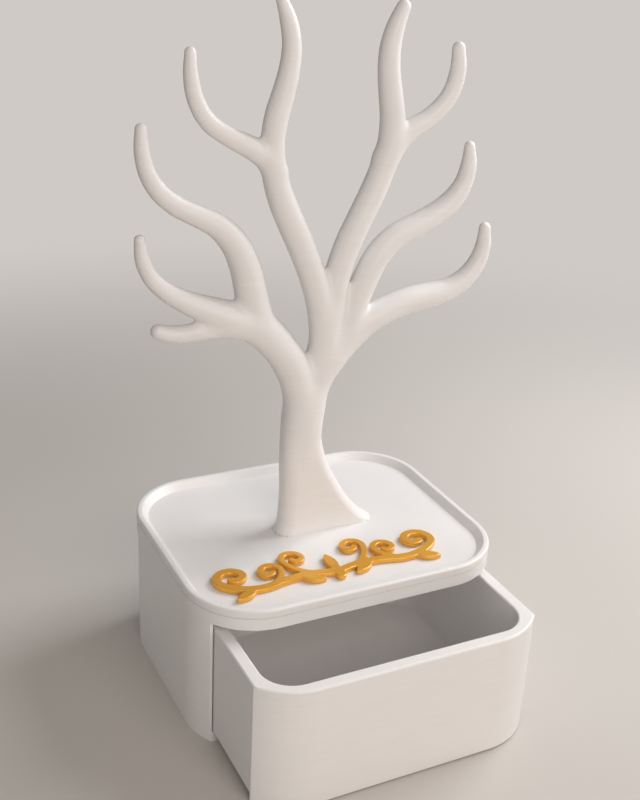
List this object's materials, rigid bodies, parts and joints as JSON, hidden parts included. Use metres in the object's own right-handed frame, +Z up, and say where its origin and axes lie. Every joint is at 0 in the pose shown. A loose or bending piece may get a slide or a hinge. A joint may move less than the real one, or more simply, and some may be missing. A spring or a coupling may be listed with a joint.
{
  "type": "jewelry stand with drawer",
  "caption": "Printed jewellery stand: a rounded box with a pull-out drawer, a rimmed tray on top and a branching tree for hanging necklaces.",
  "frame": {"origin": "middle of the box's underside", "axes": "+Z up, the drawer opens towards -Y, +X to the right seen from the drawer's side"},
  "size_m": [0.1708, 0.1635, 0.3098],
  "materials": {
    "white_pla": "silky white printed plastic with fine layer lines",
    "gold_pla": "silky gold printed plastic",
    "steel": "plain zinc-plated screws",
    "brass": "plain turned brass"
  },
  "bodies": {
    "stand": {"housing": "white_pla", "top_frame": "white_pla", "tray_top": "white_pla", "tree": "white_pla", "scroll_ornament": "gold_pla", "frame_pins": "white_pla", "tray_screws": "steel", "tree_screws": "steel", "tree_inserts": "brass"},
    "drawer": {"drawer": "white_pla", "drawer_stops": "white_pla"}
  },
  "joints": [
    {"name": "drawer_slide", "type": "slide", "parent": "stand", "child": "drawer", "axis": [0, -1, 0], "range_m": [-0.04, 0.0268]}
  ]
}
